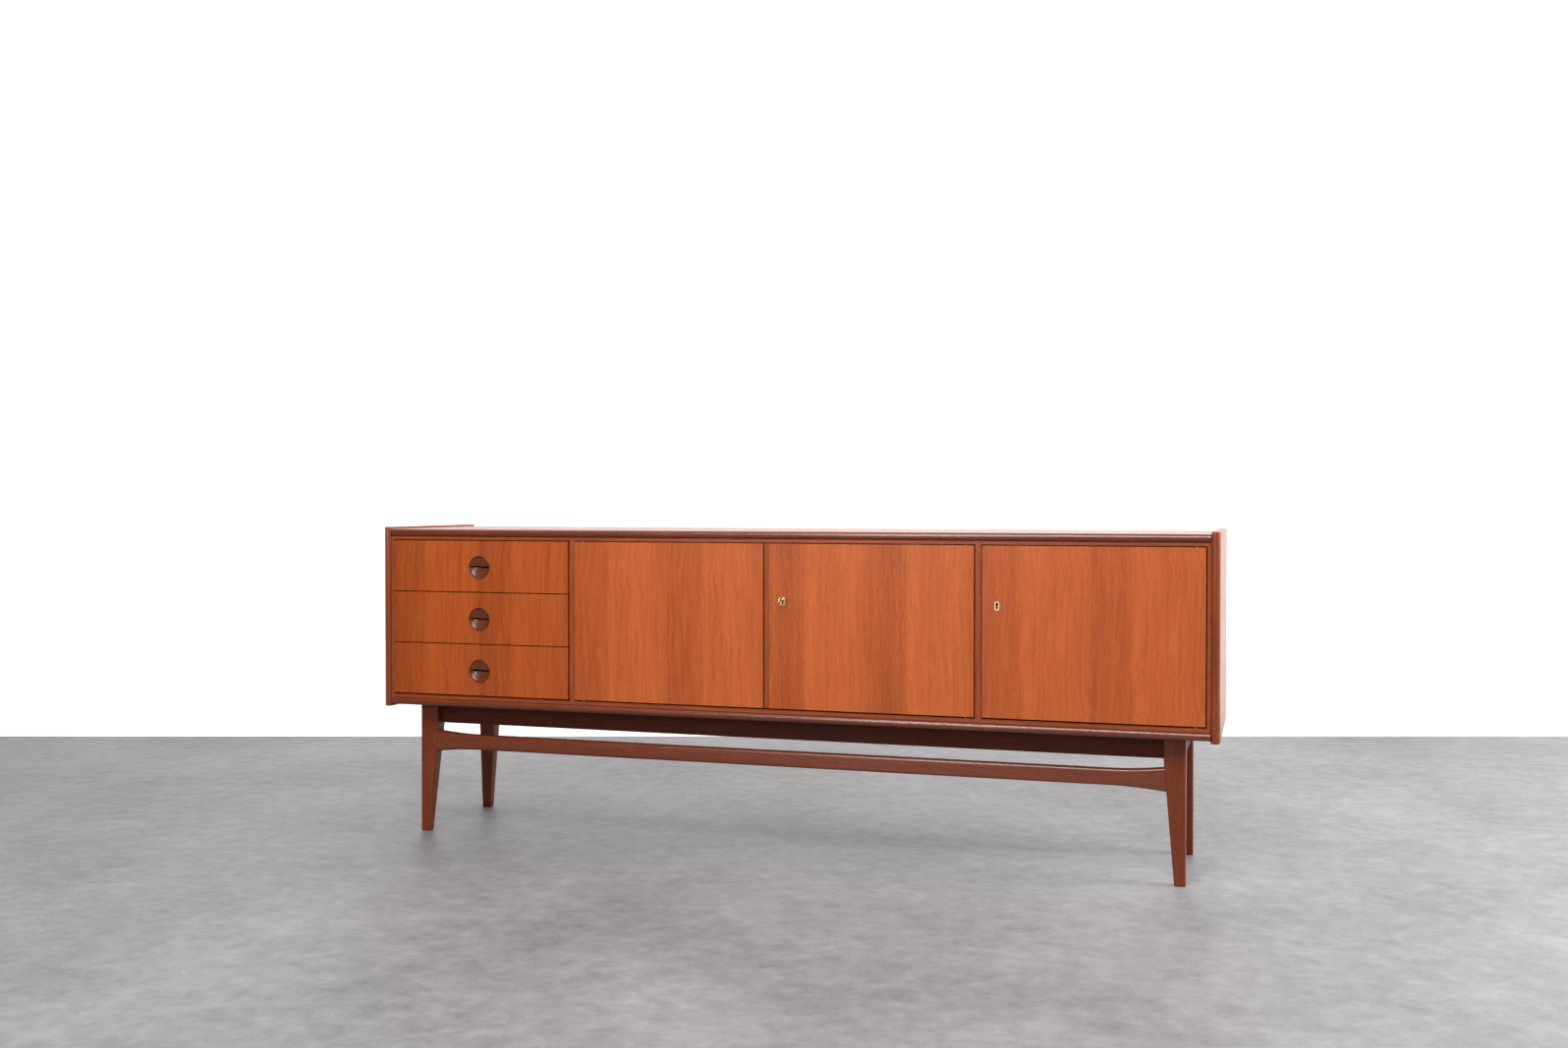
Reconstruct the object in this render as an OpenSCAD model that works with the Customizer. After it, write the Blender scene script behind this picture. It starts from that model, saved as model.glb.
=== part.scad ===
// Sideboard buffet: three drawers and three hinged doors in a wide veneered case on a leg frame.
// Millimetres, +Z up, front towards -Y. The origin is on the floor, under the middle of the whole part.

/* [Case size] */
// width over the two side panels
total_w = 2100; // [1900:10:2300]
// depth from the front lippings to the back edges of the side panels
total_d = 440; // [420:5:480]
// height from the floor to the top of the side panels
total_h = 800; // [780:5:820]
// height of the side panels' lower edges above the floor
side_bottom_z = 333; // [320:1:340]

/* [Boards] */
// thickness of each side panel
side_t = 20; // [19:0.5:21]
// thickness of the top and bottom panels
board_t = 19; // [18:0.5:20]
// how far the side panels stand above the top panel and below the bottom panel
side_proud = 5; // [4:0.5:6]
// depth of the solid lippings on the front edges
lip_d = 22; // [20:1:24]
// thickness of the two upright dividers
divider_t = 14; // [14:0.5:16]
// thickness of the plywood back
back_t = 6; // [5:0.5:6.5]
// thickness of the shelves
shelf_t = 16; // [15:0.5:18]

/* [Front strips] */
// width of the recessed strips beside and above the fronts
strip_w = 8; // [7:0.5:9]
// width of the recessed strip below the fronts
strip_low_w = 9; // [8:0.5:10]
// depth of the recessed strips and of the divider lippings
strip_d = 15; // [14:0.5:16]
// how far the strips sit behind the front of the lippings
strip_setback = 6.5; // [6:0.25:7]

/* [Drawers and doors] */
// thickness of every drawer front and door
front_t = 19; // [18.5:0.25:19.5]
// gap around the fronts
front_gap = 2.5; // [2.25:0.25:3]
// gap below the lowest drawer front and the doors
low_gap = 4; // [3.5:0.25:5]
// how far the fronts sit behind the front of the lippings
front_setback = 2; // [1.75:0.25:2.25]
// width between the two doors that meet, filled by the closing strip
meeting_w = 15; // [14:0.5:16]
// thickness of the drawer sides and backs
drawer_t = 12; // [11:0.5:13]
// height of the drawer sides
drawer_side_h = 102; // [90:1:104]

/* [Pulls and locks] */
// outer diameter of the round drawer pulls
pull_d = 60; // [56:1:62]
// depth of the bowl in each pull
pull_bowl_h = 12; // [11:0.5:12.5]
// how far the pulls sit below the middle of their fronts
pull_drop = 2.5; // [0:0.5:5]
// distance of the keyholes below the tops of the doors
lock_drop = 134; // [120:0.5:180]
// distance of the keyholes from the opening edges of the doors
lock_backset = 34.5; // [33:0.5:36]

/* [Leg frame] */
// width of the legs at the top
leg_top_w = 49; // [46:1:54]
// depth of the legs at the top
leg_top_d = 41; // [40:1:44]
// width of the legs at the floor
leg_foot_w = 25; // [22:1:30]
// depth of the legs at the floor
leg_foot_d = 22; // [20:1:26]
// distance of the legs from the outer faces of the side panels
leg_inset = 75; // [60:1:100]
// distance of the front legs behind the front of the case
leg_front_inset = 57; // [45:1:65]
// distance of the rear legs in front of the back of the case
leg_rear_inset = 35; // [30:1:50]
// height of the rails under the case
rail_h = 54; // [46:1:58]
// height of the front stretcher's centre line above the floor
stretcher_z = 238.5; // [225:0.5:245]
// height of the front stretcher between its flared ends
stretcher_h = 39; // [34:1:42]
// how much the front stretcher flares above and below at each end
stretcher_flare = 8; // [5:1:10]

/* [Hidden] */
$fn = 64;
eps = 0.1; // clearance around let-in pieces
over = 1; // how far cutters run past a face
key_reach = 38; // how far the key stands in front of the lippings
front_y = (key_reach - total_d) / 2;
back_y = front_y + total_d;
half_w = total_w / 2;
inner_x = half_w - side_t;
bottom_z0 = side_bottom_z + side_proud;
bottom_z1 = bottom_z0 + board_t;
top_z1 = total_h - side_proud;
top_z0 = top_z1 - board_t;
panel_y = front_y + lip_d;
rabbet = 8;
back_y1 = back_y - (rabbet - back_t);
back_y0 = back_y1 - back_t;

strip_y0 = front_y + strip_setback;
strip_y1 = strip_y0 + strip_d;
open_x = inner_x - strip_w;
open_z0 = bottom_z1 + strip_low_w;
open_z1 = top_z0 - strip_w;

face_y = front_y + front_setback;
door_back_y = face_y + front_t;
front_z0 = open_z0 + low_gap;
front_z1 = open_z1 - front_gap;
front_h = front_z1 - front_z0;
front_w = (2 * (open_x - front_gap) - 2 * (divider_t + 2 * front_gap) - meeting_w) / 4;
bay_step = front_w + 2 * front_gap + divider_t;
drawer_x0 = front_gap - open_x;
door_1_x0 = drawer_x0 + bay_step;
door_2_x0 = meeting_w / 2;
door_3_x0 = door_2_x0 + bay_step;
divider_left_x0 = drawer_x0 + front_w + front_gap;
divider_right_x0 = door_2_x0 + front_w + front_gap;

drawer_front_h = (front_h - 2 * front_gap) / 3;
drawer_step = drawer_front_h + front_gap;
drawer_inset = 5; // the drawer box is this much narrower than its front at each side
drawer_side_z = 10; // height of the drawer sides above the lower edge of the front
drawer_back_y = back_y0 - 22;
tail_l = 9; // length of the dovetails
tail_w = 14; // width of a dovetail at its root
tail_splay = 2.5; // how much a dovetail widens on each side
groove_d = 7; // depth of the runner grooves
runner_h = 15;
runner_play = 0.5; // running clearance around the runners
runner_z = drawer_side_z + 52; // runner's middle above the lower edge of the front
groove_y0 = door_back_y + 14; // front end of the runner grooves
drawer_bottom_t = 5;
drawer_bottom_z = drawer_side_z + 8;
bottom_groove = 5;

pull_r = pull_d / 2;
pull_rim_r = 0.75;
pull_bowl_r = pull_r - 4;
pull_body_r = pull_r - 1.6;
pull_body_h = pull_bowl_h + 2;
pull_sphere_r = (pull_bowl_r * pull_bowl_r + pull_bowl_h * pull_bowl_h) / (2 * pull_bowl_h);
pull_lid_z = 1.5; // lower edge of the pull's lid above the pull's centre
pull_lid_t = 3;
pull_lid_sink = 0.5;

pivot_in = 20; // hinge pin's distance from the hinged edge
pivot_y = face_y + front_t / 2;
pivot_r = 2.5;
pivot_play = 0.05;
leaf_l = 40;
leaf_d = 8;
leaf_t = 2;
pin_l = 6.2; // how far a hinge pin stands out of the door

lock_z = front_z1 - lock_drop;
lock_w = 50;
lock_h = 60;
lock_t = 10;
lock_wall = 1.5;
bolt_z = lock_z + 13;
bolt_h = 8;
bolt_t = 4;
bolt_l = 30;
bolt_travel = 8;
lock_y0 = door_back_y - lock_t;
bolt_y = lock_y0 + lock_t / 2;
keyhole_r = 3.2;
keyhole_w = 3.4;
keyhole_l = 11.5; // from the middle of the round to the foot of the slot
key_r = 2.5;
key_bow_r = 13;
key_bow_hole_r = 7.5;
key_bow_y = front_y - key_reach + key_bow_r;
key_tilt = -45; // how far the key is turned from upright
plate_w = 11.5;
plate_h = 22;
plate_drop = 4.5; // how far the middle of a lock plate is below its keyhole
plate_in = 1.5;
plate_out = 0.4;

strip_half = 5.5; // half the width of the closing strip between the two middle doors
batten_t = 9;
batten_w = 32;

stop_d = 14;
stop_z0 = front_z1 - 14;
surface_bolt_x = -2 * batten_w;
surface_bolt_y = door_back_y + 7;
surface_bolt_r = 4;
surface_bolt_l = 64;
surface_bolt_travel = 10;

leg_x = half_w - leg_inset;
leg_front_y = front_y + leg_front_inset;
leg_rear_y = back_y - leg_rear_inset;
rail_z0 = bottom_z0 - rail_h;
rail_t = 16;
rail_back = 24; // the front and rear rails sit this far behind the legs' outer faces
side_rail_in = 5;
rail_end_x = leg_x - leg_top_w;
side_rail_y0 = leg_front_y + leg_top_d;
side_rail_y1 = leg_rear_y - leg_top_d;
tenon_t = 8;
tenon_l = 14;
tenon_in = 8; // how much lower a tenon is than its rail, above and below
stretcher_t = 24;
stretcher_in = 3; // how far the stretcher sits behind the legs' front faces
flare_l = 125;
flare_r = (flare_l * flare_l + stretcher_flare * stretcher_flare) / (2 * stretcher_flare);

shelf_y0 = strip_y1 + 22;
shelf_y1 = back_y0 - 12;
shelf_z = bottom_z1 + 210; // underside of the right shelf
shelf_step = 24; // the middle shelf sits this much lower
shelf_pin_r = 3;
shelf_pin_l = 12;
shelf_pin_ys = [shelf_y0 + 50, shelf_y1 - 50];

screw_r = 1.75;
screw_head_r = 3.5;
screw_l = 30;
hinge_xs = [door_1_x0 + pivot_in, door_2_x0 + front_w - pivot_in, door_3_x0 + front_w - pivot_in];

wood_dark = [0.42, 0.20, 0.11];
wood_mid = [0.56, 0.29, 0.15];
wood_front = [0.70, 0.36, 0.18];
wood_pale = [0.80, 0.68, 0.50];
metal_brass = [0.78, 0.62, 0.34];
metal_steel = [0.62, 0.62, 0.63];

// A block between two opposite corners.
module block(low, high) {
    translate(low)
        cube(high - low);
}

// A board along +X with a half-round front edge at y = 0.
module rounded_bar(length, depth, thick) {
    r = thick / 2;
    rotate([90, 0, 90])
        linear_extrude(length)
            union() {
                translate([r, 0])
                    square([depth - r, thick]);
                translate([r, r])
                    circle(r);
            }
}

// ---- case ----

module side_panel(side) {
    x0 = side < 0 ? -half_w : inner_x;
    cut_x0 = side < 0 ? -inner_x - rabbet - eps : inner_x - over;
    color(wood_mid)
        difference() {
            block([x0, panel_y, side_bottom_z], [x0 + side_t, back_y, total_h]);
            block([cut_x0, back_y0 - eps, bottom_z1 - rabbet - eps],
                [cut_x0 + rabbet + eps + over, back_y + over, top_z0 + rabbet + eps]);
            if (side > 0)
                shelf_pin_holes(inner_x, shelf_z);
        }
}

module side_panel_left() {
    side_panel(-1);
}

module side_panel_right() {
    side_panel(1);
}

module side_lipping(x0) {
    r = side_t / 2;
    color(wood_dark)
        translate([x0, front_y, side_bottom_z])
            linear_extrude(total_h - side_bottom_z)
                union() {
                    translate([0, r])
                        square([side_t, lip_d - r]);
                    translate([r, r])
                        circle(r);
                }
}

module side_lipping_left() {
    side_lipping(-half_w);
}

module side_lipping_right() {
    side_lipping(inner_x);
}

module top_panel() {
    color(wood_mid)
        difference() {
            block([-inner_x, panel_y, top_z0], [inner_x, back_y, top_z1]);
            block([-inner_x - over, back_y0 - eps, top_z0 - over],
                [inner_x + over, back_y + over, top_z0 + rabbet + eps]);
            back_screw_places()
                screw_hole();
        }
}

module top_lipping() {
    color(wood_dark)
        translate([-inner_x, front_y, top_z0])
            rounded_bar(2 * inner_x, lip_d, board_t);
}

module bottom_panel() {
    color(wood_mid)
        difference() {
            block([-inner_x, panel_y, bottom_z0], [inner_x, back_y, bottom_z1]);
            block([-inner_x - over, back_y0 - eps, bottom_z1 - rabbet - eps],
                [inner_x + over, back_y + over, bottom_z1 + over]);
            frame_screw_places()
                screw_hole();
            back_screw_places()
                screw_hole();
        }
}

module bottom_lipping() {
    color(wood_dark)
        translate([-inner_x, front_y, bottom_z0])
            rounded_bar(2 * inner_x, lip_d, board_t);
}

// Pockets for the hinge leaves and pins that are let into the strips over and under the doors.
module strip_hinge_pockets() {
    for (x = hinge_xs) {
        hinge_leaf_block(x, open_z1, eps);
        hinge_leaf_block(x, open_z0 - leaf_t, eps);
        translate([x, pivot_y, open_z0 - pin_l - over])
            cylinder(r = pivot_r + 0.5, h = pin_l + over);
        translate([x, pivot_y, open_z1])
            cylinder(r = pivot_r + 0.5, h = pin_l);
    }
}

module inner_strips() {
    color(wood_dark)
        difference() {
            union() {
                block([-inner_x, strip_y0, bottom_z1], [inner_x, strip_y1, open_z0]);
                block([-inner_x, strip_y0, open_z1], [inner_x, strip_y1, top_z0]);
            }
            strip_hinge_pockets();
        }
    color(wood_dark)
        for (x = [-inner_x, open_x])
            block([x, strip_y0, open_z0 + eps], [x + strip_w, strip_y1, open_z1 - eps]);
}

// Holes for the two pins that hold one end of a shelf whose underside is at z.
module shelf_pin_holes(x, z) {
    for (y = shelf_pin_ys)
        translate([x, y, z - shelf_pin_r])
            rotate([0, 90, 0])
                cylinder(r = shelf_pin_r, h = shelf_pin_l + eps, center = true);
}

module divider(x0) {
    color(wood_mid)
        difference() {
            block([x0, strip_y1, bottom_z1], [x0 + divider_t, back_y0, top_z0]);
            if (x0 > 0)
                shelf_pin_holes(x0 + divider_t, shelf_z);
            shelf_pin_holes(x0 > 0 ? x0 : x0 + divider_t, shelf_z - shelf_step);
        }
}

module divider_left() {
    divider(divider_left_x0);
}

module divider_right() {
    divider(divider_right_x0);
}

module divider_lippings() {
    color(wood_dark)
        difference() {
            for (x = [divider_left_x0, divider_right_x0])
                block([x, strip_y0, open_z0 + eps], [x + divider_t, strip_y1, open_z1 - eps]);
            block([divider_right_x0 + divider_t - bolt_travel - over, bolt_y - bolt_t / 2 - 0.5,
                bolt_z - bolt_h / 2 - 0.5],
                [divider_right_x0 + divider_t + over, bolt_y + bolt_t / 2 + 0.5,
                bolt_z + bolt_h / 2 + 0.5]);
        }
}

module back_panel() {
    color(wood_pale)
        difference() {
            block([-inner_x - rabbet, back_y0, bottom_z1 - rabbet],
                [inner_x + rabbet, back_y1, top_z0 + rabbet]);
            back_screw_places()
                screw_hole();
        }
}

module shelf(x0, x1, z) {
    color(wood_mid)
        block([x0, shelf_y0, z], [x1, shelf_y1, z + shelf_t]);
}

module shelf_middle() {
    shelf(divider_left_x0 + divider_t + 1, divider_right_x0 - 1, shelf_z - shelf_step);
}

module shelf_right() {
    shelf(divider_right_x0 + divider_t + 1, inner_x - 1, shelf_z);
}

module shelf_pin(x, y, z) {
    translate([x, y, z - shelf_pin_r])
        rotate([0, 90, 0])
            cylinder(r = shelf_pin_r - 0.05, h = shelf_pin_l, center = true);
}

module shelf_pins() {
    color(metal_brass)
        for (y = shelf_pin_ys) {
            for (x = [divider_left_x0 + divider_t, divider_right_x0])
                shelf_pin(x, y, shelf_z - shelf_step);
            for (x = [divider_right_x0 + divider_t, inner_x])
                shelf_pin(x, y, shelf_z);
        }
}

// A runner for each drawer on the side panel and on the left divider.
module drawer_runners() {
    color(wood_pale)
        for (i = [0 : 2]) {
            z = front_z0 + i * drawer_step + runner_z - runner_h / 2;
            block([-inner_x, groove_y0 + 1, z],
                [drawer_x0 + drawer_inset + groove_d - runner_play, drawer_back_y, z + runner_h]);
            block([drawer_x0 + front_w - drawer_inset - groove_d + runner_play, groove_y0 + 1, z],
                [divider_left_x0, drawer_back_y, z + runner_h]);
        }
}

// Battens under the top panel that the closed doors rest against.
module door_stops() {
    color(wood_dark)
        difference() {
            union() {
                block([divider_left_x0 + divider_t + 50, strip_y1, stop_z0],
                    [divider_right_x0 - 50, strip_y1 + stop_d, top_z0]);
                block([divider_right_x0 + divider_t + 1, strip_y1, stop_z0],
                    [inner_x - 60, strip_y1 + stop_d, top_z0]);
            }
            translate([surface_bolt_x, surface_bolt_y, stop_z0 - over])
                cylinder(r = surface_bolt_r + 0.3, h = surface_bolt_travel + over + 2);
        }
}

// ---- hinges ----

// A flat hinge leaf with its lower face at z. Its long end points into the door.
module hinge_leaf_block(x, z, gap) {
    toward = x < 0 ? 1 : -1;
    x_short = x - toward * (leaf_d / 2);
    x_long = x + toward * (leaf_l - leaf_d / 2);
    block([min(x_short, x_long) - gap, pivot_y - leaf_d / 2 - gap, z - gap],
        [max(x_short, x_long) + gap, pivot_y + leaf_d / 2 + gap, z + leaf_t + gap]);
}

module case_hinge_leaves() {
    color(metal_brass)
        for (x = hinge_xs) {
            for (z = [open_z1, open_z0 - leaf_t])
                difference() {
                    hinge_leaf_block(x, z, 0);
                    translate([x, pivot_y, z - over])
                        cylinder(r = pivot_r + pivot_play, h = leaf_t + 2 * over);
                }
        }
}

module door_hinge_leaves(x) {
    color(metal_brass) {
        union() {
            hinge_leaf_block(x, front_z1 - leaf_t, 0);
            translate([x, pivot_y, front_z1 - leaf_t / 2])
                cylinder(r = pivot_r, h = pin_l + leaf_t / 2);
        }
        union() {
            hinge_leaf_block(x, front_z0, 0);
            translate([x, pivot_y, front_z0 - pin_l])
                cylinder(r = pivot_r, h = pin_l + leaf_t / 2);
        }
    }
}

// ---- drawers ----

// The dovetails on the front end of a drawer side, or with a gap their sockets in the front.
module dovetails(x, z0, gap) {
    for (k = [0 : 2])
        translate([x - gap, door_back_y, z0 + drawer_side_h * (2 * k + 1) / 6])
            rotate([90, 0, 90])
                linear_extrude(drawer_t + 2 * gap)
                    polygon([[over * (gap > 0 ? 1 : 0), tail_w / 2 + gap],
                        [-tail_l - gap, tail_w / 2 + tail_splay + gap],
                        [-tail_l - gap, -tail_w / 2 - tail_splay - gap],
                        [over * (gap > 0 ? 1 : 0), -tail_w / 2 - gap]]);
}

module pull_places(i) {
    translate([drawer_x0 + front_w / 2, face_y,
        front_z0 + i * drawer_step + drawer_front_h / 2 - pull_drop])
        rotate([90, 0, 0])
            children();
}

module drawer_front(i) {
    z0 = front_z0 + i * drawer_step;
    color(wood_front)
        difference() {
            block([drawer_x0, face_y, z0],
                [drawer_x0 + front_w, door_back_y, z0 + drawer_front_h]);
            pull_places(i)
                translate([0, 0, -pull_body_h - eps])
                    cylinder(r = pull_body_r + eps, h = pull_body_h + eps + over);
            for (x = [drawer_x0 + drawer_inset, drawer_x0 + front_w - drawer_inset - drawer_t])
                dovetails(x, z0 + drawer_side_z, eps);
            block([drawer_x0 + drawer_inset + drawer_t - bottom_groove - eps,
                door_back_y - bottom_groove - eps, z0 + drawer_bottom_z - eps],
                [drawer_x0 + front_w - drawer_inset - drawer_t + bottom_groove + eps,
                door_back_y + over, z0 + drawer_bottom_z + drawer_bottom_t + eps]);
        }
}

// A turned hardwood cup with a half lid over its upper half. Fingers hook up behind the lid.
module drawer_pull(i) {
    color(wood_dark)
        pull_places(i)
            union() {
                difference() {
                    translate([0, 0, -pull_body_h])
                        cylinder(r = pull_body_r, h = pull_body_h);
                    difference() {
                        intersection() {
                            translate([0, 0, pull_sphere_r - pull_bowl_h])
                                sphere(r = pull_sphere_r);
                            translate([0, 0, -pull_body_h])
                                cylinder(r = pull_bowl_r, h = pull_body_h + over);
                        }
                        block([-pull_r, pull_lid_z, -pull_lid_sink - pull_lid_t],
                            [pull_r, pull_r, -pull_lid_sink]);
                    }
                }
                difference() {
                    cylinder(r = pull_r - pull_rim_r, h = 2 * pull_rim_r);
                    translate([0, 0, -over])
                        cylinder(r = pull_bowl_r + pull_rim_r, h = 2 * pull_rim_r + 2 * over);
                }
                for (r = [pull_bowl_r + pull_rim_r, pull_r - pull_rim_r])
                    rotate_extrude()
                        translate([r, pull_rim_r])
                            circle(pull_rim_r);
            }
}

module drawer_side(i, x, groove_x) {
    z0 = front_z0 + i * drawer_step + drawer_side_z;
    groove_z = front_z0 + i * drawer_step + runner_z - runner_h / 2 - runner_play;
    slot_x = groove_x > x ? x : x + drawer_t - bottom_groove - eps;
    bottom_z = front_z0 + i * drawer_step + drawer_bottom_z;
    difference() {
        union() {
            block([x, door_back_y, z0], [x + drawer_t, drawer_back_y, z0 + drawer_side_h]);
            dovetails(x, z0, 0);
        }
        block([groove_x - groove_d, groove_y0, groove_z],
            [groove_x + groove_d, drawer_back_y + over, groove_z + runner_h + 2 * runner_play]);
        block([slot_x - (groove_x > x ? over : 0), door_back_y - bottom_groove - eps,
            bottom_z - eps],
            [slot_x + bottom_groove + eps + (groove_x > x ? 0 : over), drawer_back_y + over,
            bottom_z + drawer_bottom_t + eps]);
    }
}

module drawer_sides(i) {
    x0 = drawer_x0 + drawer_inset;
    x1 = drawer_x0 + front_w - drawer_inset;
    color(wood_pale) {
        drawer_side(i, x0, x0);
        drawer_side(i, x1 - drawer_t, x1);
    }
}

module drawer_back(i) {
    z0 = front_z0 + i * drawer_step;
    color(wood_pale)
        block([drawer_x0 + drawer_inset + drawer_t, drawer_back_y - drawer_t,
            z0 + drawer_bottom_z + drawer_bottom_t + eps],
            [drawer_x0 + front_w - drawer_inset - drawer_t, drawer_back_y,
            z0 + drawer_side_z + drawer_side_h]);
}

module drawer_bottom(i) {
    z0 = front_z0 + i * drawer_step + drawer_bottom_z;
    color(wood_pale)
        block([drawer_x0 + drawer_inset + drawer_t - bottom_groove, door_back_y - bottom_groove, z0],
            [drawer_x0 + front_w - drawer_inset - drawer_t + bottom_groove, drawer_back_y,
            z0 + drawer_bottom_t]);
}

module drawer_1_front() {
    drawer_front(2);
}

module drawer_1_pull() {
    drawer_pull(2);
}

module drawer_1_sides() {
    drawer_sides(2);
}

module drawer_1_back() {
    drawer_back(2);
}

module drawer_1_bottom() {
    drawer_bottom(2);
}

module drawer_2_front() {
    drawer_front(1);
}

module drawer_2_pull() {
    drawer_pull(1);
}

module drawer_2_sides() {
    drawer_sides(1);
}

module drawer_2_back() {
    drawer_back(1);
}

module drawer_2_bottom() {
    drawer_bottom(1);
}

module drawer_3_front() {
    drawer_front(0);
}

module drawer_3_pull() {
    drawer_pull(0);
}

module drawer_3_sides() {
    drawer_sides(0);
}

module drawer_3_back() {
    drawer_back(0);
}

module drawer_3_bottom() {
    drawer_bottom(0);
}

// ---- doors ----

// The outline of an upright keyhole around the origin.
module keyhole_outline(r, slot_w, slot_l) {
    union() {
        circle(r);
        translate([-slot_w / 2, -slot_l])
            square([slot_w, slot_l]);
    }
}

module lock_at(x0) {
    translate([x0 + lock_backset, 0, lock_z])
        rotate([90, 0, 0])
            children();
}

module lock_plate_outline(gap) {
    r = plate_w / 2 + gap;
    half = (plate_h - plate_w) / 2;
    translate([0, -plate_drop])
        union() {
            translate([0, half])
                circle(r);
            translate([0, -half])
                circle(r);
            translate([-r, -half])
                square([2 * r, 2 * half]);
        }
}

module door_panel(x0, hinge_x, locked) {
    color(wood_front)
        difference() {
            block([x0, face_y, front_z0], [x0 + front_w, door_back_y, front_z1]);
            hinge_leaf_block(hinge_x, front_z1 - leaf_t, eps);
            hinge_leaf_block(hinge_x, front_z0, eps);
            if (locked) {
                block([x0 - over, lock_y0 - eps, lock_z - lock_h / 2 - eps],
                    [x0 + lock_w + eps, door_back_y + over, lock_z + lock_h / 2 + eps]);
                lock_at(x0)
                    translate([0, 0, -door_back_y])
                        linear_extrude(front_t + over)
                            keyhole_outline(keyhole_r, keyhole_w + 0.4, keyhole_l + 0.7);
                lock_at(x0)
                    translate([0, 0, -face_y - plate_in])
                        linear_extrude(plate_in + over)
                            lock_plate_outline(eps);
            }
        }
}

module lock_case(x0) {
    inner_y0 = lock_y0 + lock_wall;
    inner_y1 = door_back_y - lock_wall;
    color(metal_steel)
        difference() {
            block([x0, lock_y0, lock_z - lock_h / 2],
                [x0 + lock_w, door_back_y, lock_z + lock_h / 2]);
            block([x0 + lock_wall, inner_y0, lock_z - lock_h / 2 + lock_wall],
                [x0 + lock_w - lock_wall, inner_y1, lock_z + lock_h / 2 - lock_wall]);
            block([x0 - over, bolt_y - bolt_t / 2 - eps, bolt_z - bolt_h / 2 - eps],
                [x0 + lock_wall + over, bolt_y + bolt_t / 2 + eps, bolt_z + bolt_h / 2 + eps]);
            lock_at(x0)
                translate([0, 0, -inner_y0 - over])
                    linear_extrude(lock_wall + 2 * over)
                        keyhole_outline(key_r + pivot_play, 2.4, 9);
        }
}

module lock_bolt(x0) {
    color(metal_brass)
        block([x0 + 0.4, bolt_y - bolt_t / 2, bolt_z - bolt_h / 2],
            [x0 + 0.4 + bolt_l, bolt_y + bolt_t / 2, bolt_z + bolt_h / 2]);
}

module escutcheon(x0) {
    color(metal_brass)
        lock_at(x0)
            translate([0, 0, -face_y - plate_in])
                linear_extrude(plate_in + plate_out)
                    difference() {
                        lock_plate_outline(0);
                        keyhole_outline(keyhole_r, keyhole_w, keyhole_l);
                    }
}

module door_1_panel() {
    door_panel(door_1_x0, hinge_xs[0], false);
}

module door_1_hinge_leaves() {
    door_hinge_leaves(hinge_xs[0]);
}

// A strip screwed to the back of the left door. Its tongue fills the gap between the two doors.
module door_1_closing_strip() {
    color(wood_dark)
        difference() {
            union() {
                block([-strip_half, strip_y0, front_z0], [strip_half, door_back_y, front_z1]);
                block([-strip_half - batten_w, door_back_y, front_z0 + low_gap],
                    [strip_half, door_back_y + batten_t, stop_z0 - 2]);
            }
            block([strip_half - bolt_travel, bolt_y - bolt_t / 2 - 0.5, bolt_z - bolt_h / 2 - 0.5],
                [strip_half + over, bolt_y + bolt_t / 2 + 0.5, bolt_z + bolt_h / 2 + 0.5]);
        }
}

// A plate with two guides on the back of the left door, for that door's own upright bolt.
module door_1_bolt_plate() {
    z0 = stop_z0 - surface_bolt_l;
    color(metal_brass)
        difference() {
            union() {
                block([surface_bolt_x - 14, door_back_y, z0],
                    [surface_bolt_x + 14, door_back_y + 2, stop_z0 - 2]);
                for (z = [z0 + 4, z0 + 46])
                    block([surface_bolt_x - 7, door_back_y + 1, z],
                        [surface_bolt_x + 7, door_back_y + 13, z + 10]);
            }
            translate([surface_bolt_x, surface_bolt_y, z0 - over])
                cylinder(r = surface_bolt_r + pivot_play, h = surface_bolt_l + 2 * over);
        }
}

module door_1_bolt() {
    z0 = stop_z0 - surface_bolt_l;
    color(metal_steel)
        union() {
            translate([surface_bolt_x, surface_bolt_y, z0 + 1])
                cylinder(r = surface_bolt_r, h = surface_bolt_l - 2);
            translate([surface_bolt_x, surface_bolt_y, z0 + 24])
                rotate([-90, 0, 0])
                    cylinder(r = 2.5, h = 13);
        }
}

module door_2_panel() {
    door_panel(door_2_x0, hinge_xs[1], true);
}

module door_2_hinge_leaves() {
    door_hinge_leaves(hinge_xs[1]);
}

module door_2_lock_case() {
    lock_case(door_2_x0);
}

module door_2_bolt() {
    lock_bolt(door_2_x0);
}

module door_2_escutcheon() {
    escutcheon(door_2_x0);
}

// A key with a ring bow, a collar, a round shank and a small bit inside the lock.
module door_2_key() {
    color(metal_brass)
        lock_at(door_2_x0)
            rotate([0, 0, key_tilt])
                union() {
                    translate([0, 0, -door_back_y + lock_wall + 0.5])
                        cylinder(r = key_r, h = door_back_y - lock_wall - 0.5 - key_bow_y
                            - (key_bow_r + key_bow_hole_r) / 2);
                    translate([0, 0, -face_y + plate_out + 0.5])
                        cylinder(r = key_r + 1.5, h = 2);
                    translate([0, 0, -key_bow_y])
                        rotate([90, 0, 90])
                            difference() {
                                cylinder(r = key_bow_r, h = 3, center = true);
                                cylinder(r = key_bow_hole_r, h = 3 + 2 * over, center = true);
                            }
                    block([-1, -7.5, -door_back_y + lock_wall + 1],
                        [1, 0, -door_back_y + lock_wall + 5]);
                }
}

module door_3_panel() {
    door_panel(door_3_x0, hinge_xs[2], true);
}

module door_3_hinge_leaves() {
    door_hinge_leaves(hinge_xs[2]);
}

module door_3_lock_case() {
    lock_case(door_3_x0);
}

module door_3_bolt() {
    lock_bolt(door_3_x0);
}

module door_3_escutcheon() {
    escutcheon(door_3_x0);
}

// ---- leg frame ----

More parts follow.
